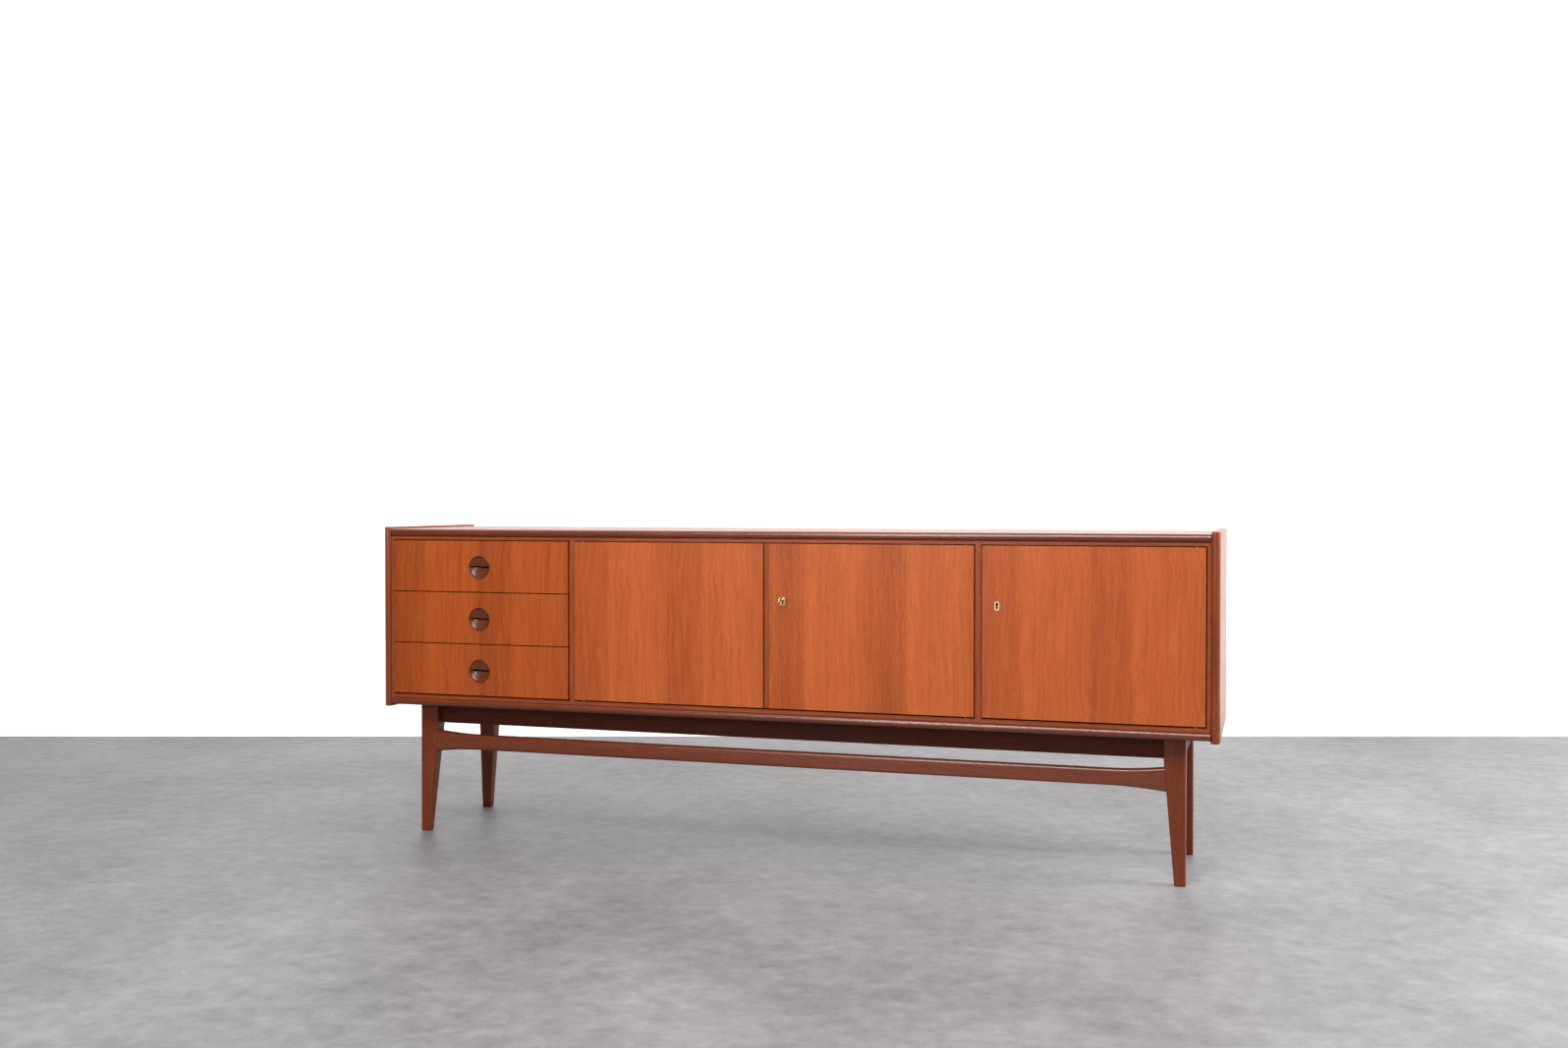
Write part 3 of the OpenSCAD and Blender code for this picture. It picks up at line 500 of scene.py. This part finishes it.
# the rails carry painted shade: their colours are darkened for the shadow under the case
RAIL_X = wood("rail_teak", RAIL_PAINTED_SHADE_DARK, RAIL_PAINTED_SHADE_LIGHT, "x", 7.0, gloss=0.5, shine=0.2)
RAIL_Y = wood("side_rail_teak", RAIL_PAINTED_SHADE_DARK, RAIL_PAINTED_SHADE_LIGHT, "y", 7.5, gloss=0.5, shine=0.2)
LEG_Z = wood("leg_teak", LEG_DARK, LEG_LIGHT, "z", 8.0, gloss=0.3)
STRETCHER_X = wood("stretcher_teak", LEG_DARK, LEG_LIGHT, "x", 9.0, gloss=0.21, shine=0.75)
PULL_WOOD = wood("pull_hardwood", PULL_DARK, PULL_LIGHT, "x", 10.0, gloss=0.2)
PULL_PAINTED_SHADOW = wood("pull_cavity_painted_shadow", CAVITY_PAINTED_SHADOW_DARK, CAVITY_PAINTED_SHADOW_LIGHT, "x", 10.0, gloss=0.6, shine=0.1)
INNER_X = wood("inner_beech_along", INNER_DARK, INNER_LIGHT, "x", 11.0, gloss=0.5,
               figure=INNER_FIGURE, pores=INNER_PORES)
INNER_Y = wood("inner_beech_back", INNER_DARK, INNER_LIGHT, "y", 12.0, gloss=0.5,
               figure=INNER_FIGURE, pores=INNER_PORES)
BRASS = metal("brass", srgb(246, 210, 150), 0.2, 0.55)
PLATE = metal("plate_brass", srgb(252, 214, 168), 0.36, 0.85)
STEEL = metal("steel", srgb(178, 178, 180), 0.32, 0.7)
# painted shade: the lock case's steel is darkened so the keyhole in front of it looks dark
LOCK_STEEL = metal("lock_steel", srgb(74, 66, 60), 0.5, 0.7)

CAD_MATERIALS = {
    "side_panel_left": CASE_Z, "side_panel_right": CASE_Z,
    "top_panel": CASE_X, "bottom_panel": CASE_X,
    "inner_strips": STRIPS, "divider_left": CASE_Z, "divider_right": CASE_Z,
    "divider_lippings": DIVIDER_Z, "back_panel": INNER_X,
    "shelf_middle": CASE_X, "shelf_right": CASE_X, "shelf_pins": BRASS,
    "drawer_runners": INNER_Y, "door_stops": INNER_X, "case_hinge_leaves": BRASS,
    "rail_front": RAIL_X, "rail_rear": RAIL_X,
    "side_rail_left": RAIL_Y, "side_rail_right": RAIL_Y, "wood_screws": STEEL,
    "door_1_closing_strip": DIVIDER_Z, "door_1_bolt_plate": BRASS, "door_1_bolt": BRASS,
}
for drawer in DRAWERS:
    CAD_MATERIALS[drawer + "_front"] = FRONT["drawer"]
    CAD_MATERIALS[drawer + "_sides"] = INNER_Y
    CAD_MATERIALS[drawer + "_back"] = INNER_X
    CAD_MATERIALS[drawer + "_bottom"] = INNER_X
for door in DOORS:
    CAD_MATERIALS[door + "_panel"] = FRONT[door]
    CAD_MATERIALS[door + "_hinge_leaves"] = BRASS
for door in DOORS[1:]:
    CAD_MATERIALS[door + "_lock_case"] = LOCK_STEEL
    CAD_MATERIALS[door + "_bolt"] = BRASS
    CAD_MATERIALS[door + "_escutcheon"] = PLATE

for node, material in CAD_MATERIALS.items():
    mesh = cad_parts[node].data
    mesh.materials.clear()
    mesh.materials.append(material)

# edges broken by sanding: those sharper than the angle, in so many steps, by these widths
EDGE_ANGLE = 40
EDGE_SEGMENTS = 2
EDGE_ROUNDING = {
    "top_panel": 0.0005, "bottom_panel": 0.0005, "side_panel_left": 0.0006,
    "side_panel_right": 0.0006, "inner_strips": 0.0008, "divider_lippings": 0.0012,
    "rail_front": 0.0015, "rail_rear": 0.0015, "side_rail_left": 0.0015,
    "side_rail_right": 0.0015, "shelf_middle": 0.0008, "shelf_right": 0.0008,
    "door_1_closing_strip": 0.001,
}
for door in DOORS:
    EDGE_ROUNDING[door + "_panel"] = 0.0009
for drawer in DRAWERS:
    EDGE_ROUNDING[drawer + "_front"] = 0.0009
    EDGE_ROUNDING[drawer + "_sides"] = 0.0006
for door in DOORS[1:]:
    EDGE_ROUNDING[door + "_escutcheon"] = 0.00025
for node, width in EDGE_ROUNDING.items():
    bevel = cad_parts[node].modifiers.new("edges", "BEVEL")
    bevel.width = width
    bevel.segments = EDGE_SEGMENTS
    bevel.limit_method = "ANGLE"
    bevel.angle_limit = math.radians(EDGE_ANGLE)
    bevel.harden_normals = True


def dress(obj, node, body, material):
    """obj stands for a CAD node, moves with its body and has the given material."""
    obj.data.materials.append(material)
    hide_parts(node)
    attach(obj, body)


# ---- lippings ----

def lipping_level(node):
    """A level lipping whose front is half round."""
    low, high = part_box(node)
    section = bullnose(low.z, high.z, low.y, high.y)
    rings = []
    for k in range(LIPPING_SEGMENTS + 1):
        x = low.x + (high.x - low.x) * k / LIPPING_SEGMENTS
        rings.append([(x, y, z) for z, y in section])
    bm = bmesh.new()
    loft(bm, rings)
    dress(finish_mesh(bm, node + "_wood"), node, "case", SOLID_X)


def lipping_upright(node):
    """An upright lipping whose front is half round and whose ends are eased."""
    low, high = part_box(node)
    section = bullnose(low.x, high.x, low.y, high.y)

    def place(points, z):
        return [(x, y, z) for x, y in points]

    bm = bmesh.new()
    loft(bm, eased_ends(section, low.z, high.z, LIPPING_END_EASE, place))
    dress(finish_mesh(bm, node + "_wood"), node, "case", SOLID_Z)


for node in ("top_lipping", "bottom_lipping"):
    lipping_level(node)
for node in ("side_lipping_left", "side_lipping_right"):
    lipping_upright(node)


# ---- legs and stretcher ----

def leg(node):
    """A square leg that tapers on its two inner faces, with rounded edges."""
    low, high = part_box(node)
    outer_x = low.x if low.x < 0 else high.x
    outer_y = low.y if low.y < 0 else high.y
    side = -1 if outer_x < 0 else 1
    end = -1 if outer_y < 0 else 1

    def ring(z, radius, inset=0.0):
        share = min(z / LEG_STRAIGHT_Z, 1.0)
        width = LEG_FOOT[0] + (LEG_TOP[0] - LEG_FOOT[0]) * share
        depth = LEG_FOOT[1] + (LEG_TOP[1] - LEG_FOOT[1]) * share
        xs = sorted((outer_x - side * inset, outer_x - side * (width - inset)))
        ys = sorted((outer_y - end * inset, outer_y - end * (depth - inset)))
        return [(x, y, z) for x, y in rounded_rect(xs[0], xs[1], ys[0], ys[1], radius)]

    rings = []
    for k in range(FOOT_STEPS + 1):
        angle = math.pi / 2 * k / FOOT_STEPS
        inset = FOOT_EASE * (1 - math.sin(angle))
        rings.append(ring(FOOT_EASE * (1 - math.cos(angle)), LEG_EDGE_R, inset))
    for k in range(1, LEG_RINGS + 1):
        z = LEG_STRAIGHT_Z * k / LEG_RINGS
        rings.append(ring(z, LEG_EDGE_R + LEG_EDGE_GROWTH * k / LEG_RINGS))
    rings.append(ring(high.z, LEG_EDGE_R + LEG_EDGE_GROWTH))
    bm = bmesh.new()
    loft(bm, rings)
    dress(finish_mesh(bm, node + "_wood", FRAME_SMOOTH), node, "case", LEG_Z)


for node in ("leg_front_left", "leg_front_right", "leg_rear_left", "leg_rear_right"):
    leg(node)


def stretcher():
    """The front stretcher. Its ends widen along arcs towards the legs."""
    low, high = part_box("stretcher_front")
    flare_r = (FLARE_LENGTH ** 2 + STRETCHER_FLARE ** 2) / (2 * STRETCHER_FLARE)
    reach = FLARE_LENGTH + FLARE_RUNOUT
    middle = [FLARE_X * k / STRETCHER_SEGMENTS
              for k in range(-STRETCHER_SEGMENTS, STRETCHER_SEGMENTS + 1)]
    tail = [FLARE_X + reach * k / FLARE_SEGMENTS for k in range(1, FLARE_SEGMENTS + 1)]
    tail.append(FLARE_X + reach + STRETCHER_INSIDE)
    rings = []
    for x in [-x for x in reversed(tail)] + middle + tail:
        past = min(max(abs(x) - FLARE_X, 0.0), reach)
        half = STRETCHER_HALF_H + flare_r - math.sqrt(flare_r ** 2 - past ** 2)
        section = rounded_rect(low.y, high.y, STRETCHER_Z - half, STRETCHER_Z + half,
                               STRETCHER_EDGE_R, 7)
        rings.append([(x, y, z) for y, z in section])
    bm = bmesh.new()
    loft(bm, rings)
    obj = finish_mesh(bm, "stretcher_wood", FRAME_SMOOTH)
    dress(obj, "stretcher_front", "case", STRETCHER_X)


stretcher()


# ---- pulls and key ----

def lathe(bm, profile, place, count=72):
    """Turns (radius, depth) points about an axis. place makes a point from u, v and depth."""
    rows = []
    for radius, depth in profile:
        if radius < 1e-6:
            rows.append([bm.verts.new(place(0, 0, depth))])
            continue
        angles = (2 * math.pi * k / count for k in range(count))
        rows.append([
            bm.verts.new(place(radius * math.cos(a), radius * math.sin(a), depth)) for a in angles
        ])
    for a, b in zip(rows, rows[1:]):
        for i in range(count):
            j = (i + 1) % count
            if len(b) == 1:
                bm.faces.new((a[i], a[j], b[0]))
            elif len(a) == 1:
                bm.faces.new((a[0], b[j], b[i]))
            else:
                bm.faces.new((a[i], a[j], b[j], b[i]))


def pull_half(bm, place, radius, side, edge_v, dip):
    """Half of a pull's dished face. Its edge stands edge_v off the middle, sunk by dip."""
    columns = []
    for k in range(PULL_COLUMNS + 1):
        u = PULL_SPREAD * radius * math.sin(math.pi * (k / PULL_COLUMNS - 0.5))
        rim = math.sqrt(radius ** 2 - u ** 2)
        edge = edge_v - side * PULL_WAVE * math.sin(math.pi * u / radius)
        edge = min(edge, rim - PULL_NOSE)
        span = rim - edge
        sink = dip * min(span / (radius - edge_v), 1)
        front = [(edge + span * t, PULL_FACE_DEPTH + sink * (1 - t ** PULL_DISH_POWER))
                 for t in PULL_STEPS]
        lip_v, lip_depth = front[-1]
        body = min(PULL_SHELL, 0.5 * span)
        nose = [(lip_v - PULL_NOSE, lip_depth + 0.2 * body),
                (lip_v - PULL_NOSE, lip_depth + 0.8 * body), (lip_v, lip_depth + body)]
        back = [(v, depth + body) for v, depth in reversed(front[:-1])]
        columns.append([place(u, side * v, depth) for v, depth in front + nose + back])
    loft(bm, columns)


def pull(drawer):
    """A turned cup with a raised rim: a lip over its upper half, a finger scoop below."""
    low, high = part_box(drawer + "_pull")
    mid_x, mid_z = (low.x + high.x) / 2, (low.z + high.z) / 2
    face_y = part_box(drawer + "_front")[0].y

    def place(u, v, depth):
        return (mid_x + u, face_y + depth, mid_z + v)

    rim_r = PULL_R - PULL_BEAD
    profile = [(0.0, PULL_BACK), (PULL_BODY_R, PULL_BACK), (PULL_BODY_R, 0.0)]
    for k in range(PULL_BEAD_STEPS + 1):
        angle = math.pi * k / PULL_BEAD_STEPS
        profile.append((rim_r + PULL_BEAD * math.cos(angle), -PULL_BEAD * math.sin(angle)))
    rim_in = rim_r - PULL_BEAD
    bowl_r = rim_in - PULL_BOWL_INSET
    profile.append((rim_in - PULL_RIM_STEP, PULL_RIM_STEP_DEPTH))
    profile += [(bowl_r - inset, depth) for inset, depth in PULL_BOWL]
    profile.append((0.0, PULL_BOWL_FLOOR))
    face_r = bowl_r + PULL_FACE_OVERLAP
    bm = bmesh.new()
    lathe(bm, profile, place)
    pull_half(bm, place, face_r, 1, PULL_GAP_TOP, PULL_LIP_DIP)
    pull_half(bm, place, face_r, -1, PULL_GAP_LOW, PULL_SCOOP_DIP)
    obj = finish_mesh(bm, drawer + "_pull_wood", PULL_SMOOTH)
    dress(obj, drawer + "_pull", drawer, PULL_WOOD)
    # painted shadow: the faces deep in the cup take a dark colour for the shade there
    obj.data.materials.append(PULL_PAINTED_SHADOW)
    for polygon in obj.data.polygons:
        if polygon.center.y > face_y + PULL_PAINTED_SHADOW_DEPTH:
            polygon.material_index = 1


for drawer in DRAWERS:
    pull(drawer)


def key():
    """A cast key: a shaft with two collars and an oval ring for a bow, turned as it was left."""
    low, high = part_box("door_2_key")
    mid_x, mid_z = (low.x + high.x) / 2, (low.z + high.z) / 2
    face_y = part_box("door_2_panel")[0].y
    slant = math.radians(KEY_SLANT)
    side = (math.sin(slant), math.cos(slant))

    def place(u, v, depth):
        return (mid_x + u, depth, mid_z + v)

    bow_mid = low.y + BOW_FROM_TIP
    neck = bow_mid + BOW_TO_NECK
    profile = [(0.0, neck)]
    profile += [(radius, neck + past) for radius, past in NECK_COLLAR]
    profile += [(radius, face_y - before) for radius, before in DOOR_COLLAR]
    profile += [(SHAFT_R, high.y), (0.0, high.y)]
    bm = bmesh.new()
    lathe(bm, profile, place, KEY_STEPS)
    rows = []
    for k in range(BOW_STEPS):
        angle = 2 * math.pi * k / BOW_STEPS
        across, ahead = BOW_ACROSS * math.cos(angle), BOW_AHEAD * math.sin(angle)
        row = []
        for m in range(BOW_WIRE_STEPS):
            turn = 2 * math.pi * m / BOW_WIRE_STEPS
            grow = 1 + BOW_WIRE * math.cos(turn) / BOW_MID_R
            lift = BOW_WIRE_LIFT * math.sin(turn)
            row.append(bm.verts.new((
                mid_x + across * grow * side[0] + lift * side[1],
                bow_mid + ahead * grow,
                mid_z + across * grow * side[1] - lift * side[0],
            )))
        rows.append(row)
    for i, row in enumerate(rows):
        after = rows[(i + 1) % len(rows)]
        for m in range(BOW_WIRE_STEPS):
            following = (m + 1) % BOW_WIRE_STEPS
            bm.faces.new((row[m], row[following], after[following], after[m]))
    obj = finish_mesh(bm, "key_brass", KEY_SMOOTH)
    dress(obj, "door_2_key", "door_2_key", BRASS)


key()


# ---- stage ----

# the floor's noises, each with its share of the tone: scale, detail, roughness, distortion
FLOOR_NOISES = (
    ((1.6, 9.0, 0.62, 0.0), 0.45),
    ((18.0, 9.0, 0.72, 0.2), 0.45),
    ((260.0, 2.0, 0.6, 0.0), 0.1),
)
FLOOR_STOPS = [(0.36, srgb(100, 99, 101)), (0.64, srgb(152, 149, 151))]
FLOOR_ROUGHNESS = (0.42, 0.6)
FLOOR_RELIEF = 0.0008
FLOOR_RELIEF_STRENGTH = 0.25
WALL_WHITE = (0.88, 0.88, 0.88, 1)
WALL_SHADE = (0.985, 1.0)
WALL_NOISE = (0.6, 3.0, 0.5)
WALL_ROUGHNESS = 0.9
WALL_GLOW = 0.6


def floor_material():
    """Grey screed, cloudy and finely flecked."""
    n = Nodes("polished_screed")
    coords = n.add("ShaderNodeTexCoord").outputs["Object"]
    tone = 0.0
    for settings, share in FLOOR_NOISES:
        tone = n.math("ADD", n.math("MULTIPLY", n.noise(coords, *settings), share), tone)
    n.put(n.shader.inputs["Base Color"], n.ramp(tone, FLOOR_STOPS))
    n.put(n.shader.inputs["Roughness"], n.map_range(tone, *FLOOR_ROUGHNESS))
    n.bump(tone, FLOOR_RELIEF, FLOOR_RELIEF_STRENGTH)
    return n.material


def wall_material():
    """White plaster that shows from inside the room only, so it hides nothing from behind."""
    n = Nodes("plaster")
    coords = n.add("ShaderNodeTexCoord").outputs["Object"]
    shade = n.map_range(n.noise(coords, *WALL_NOISE), *WALL_SHADE)
    n.put(n.shader.inputs["Base Color"], n.mix("MULTIPLY", 1.0, WALL_WHITE, shade))
    n.put(n.shader.inputs["Roughness"], WALL_ROUGHNESS)
    n.put(n.shader.inputs["Emission Color"], (1, 1, 1, 1))
    n.put(n.shader.inputs["Emission Strength"], WALL_GLOW)
    outside = n.add("ShaderNodeNewGeometry").outputs["Backfacing"]
    clear = n.add("ShaderNodeBsdfTransparent").outputs[0]
    both = n.add("ShaderNodeMixShader", {0: outside, 1: n.shader.outputs[0], 2: clear})
    n.put(n.tree.nodes["Material Output"].inputs[0], both.outputs[0])
    return n.material


def stage_plane(name, corners, material):
    """A flat sheet of the stage. From its front, the corners run anticlockwise."""
    mesh = bpy.data.meshes.new(name)
    mesh.from_pydata(corners, [], [range(len(corners))])
    mesh.materials.append(material)
    obj = bpy.data.objects.new(name, mesh)
    bpy.context.scene.collection.objects.link(obj)


CAMERA_PLACE = (1.168, -3.692, 0.870)
CAMERA_YAW = math.radians(17.81)
CAMERA_PITCH = math.radians(0.895)
CAMERA_LENS = 35.27
WALL_DISTANCE = 5.64
ROOM_HALF = 9
ROOM_HEIGHT = 5


def room_point(right, ahead, up):
    """A point right of the camera and ahead of it, level with the room."""
    sin, cos = math.sin(CAMERA_YAW), math.cos(CAMERA_YAW)
    x = CAMERA_PLACE[0] + right * cos - ahead * sin
    y = CAMERA_PLACE[1] + right * sin + ahead * cos
    return (x, y, up)


stage_plane(
    "floor",
    [room_point(right, ahead, 0) for right, ahead in (
        (-ROOM_HALF, -ROOM_HALF), (ROOM_HALF, -ROOM_HALF),
        (ROOM_HALF, WALL_DISTANCE + ROOM_HALF), (-ROOM_HALF, WALL_DISTANCE + ROOM_HALF))],
    floor_material(),
)
stage_plane(
    "wall",
    [room_point(right, WALL_DISTANCE, up) for right, up in (
        (-ROOM_HALF, 0), (ROOM_HALF, 0), (ROOM_HALF, ROOM_HEIGHT), (-ROOM_HALF, ROOM_HEIGHT))],
    wall_material(),
)


# ---- light and camera ----

# name, place, target, width and height, power in watts
LIGHTS = (
    ("window_front", (-0.8, -5.0, 1.9), (0, 0, 0.6), (1.0, 1.5), 52),
    ("sky_front", (0.3, -2.7, 3.0), (0.1, 0, 0.5), (2.2, 1.4), 106),
    ("window_right", (4.2, 0.1, 2.1), (2.0, -0.3, 0.0), (1.8, 1.8), 175),
    ("ceiling", (0.0, -1.0, 4.2), (0, -1.0, 0), (6.0, 4.0), 45),
)
ROOM_COLOUR = (0.95, 0.97, 1.0, 1)
ROOM_LIGHT = 0.16
ROOM_WHITE = 1.05
SENSOR_WIDTH = 36.0


def area_light(name, place, target, size, power):
    data = bpy.data.lights.new(name, "AREA")
    data.shape = "RECTANGLE"
    data.size, data.size_y = size
    data.energy = power
    obj = bpy.data.objects.new(name, data)
    obj.location = place
    obj.rotation_euler = (Vector(target) - Vector(place)).to_track_quat("-Z", "Y").to_euler()
    bpy.context.scene.collection.objects.link(obj)


for light in LIGHTS:
    area_light(*light)

# a dim room that reads as plain white where nothing stands in front of it
world = bpy.data.worlds.new("room")
world.use_nodes = True
background = world.node_tree.nodes["Background"]
background.inputs[0].default_value = ROOM_COLOUR
ray = world.node_tree.nodes.new("ShaderNodeLightPath").outputs["Is Camera Ray"]
strength = world.node_tree.nodes.new("ShaderNodeMapRange")
strength.inputs["To Min"].default_value = ROOM_LIGHT
strength.inputs["To Max"].default_value = ROOM_WHITE
world.node_tree.links.new(ray, strength.inputs["Value"])
world.node_tree.links.new(strength.outputs[0], background.inputs[1])
bpy.context.scene.world = world

camera_data = bpy.data.cameras.new("camera")
camera_data.sensor_width = SENSOR_WIDTH
camera_data.lens = CAMERA_LENS
camera = bpy.data.objects.new("camera", camera_data)
camera.location = CAMERA_PLACE
camera.rotation_euler = (math.pi / 2 - CAMERA_PITCH, 0, CAMERA_YAW)
bpy.context.scene.collection.objects.link(camera)
bpy.context.scene.camera = camera
bpy.context.scene.view_settings.view_transform = "Standard"
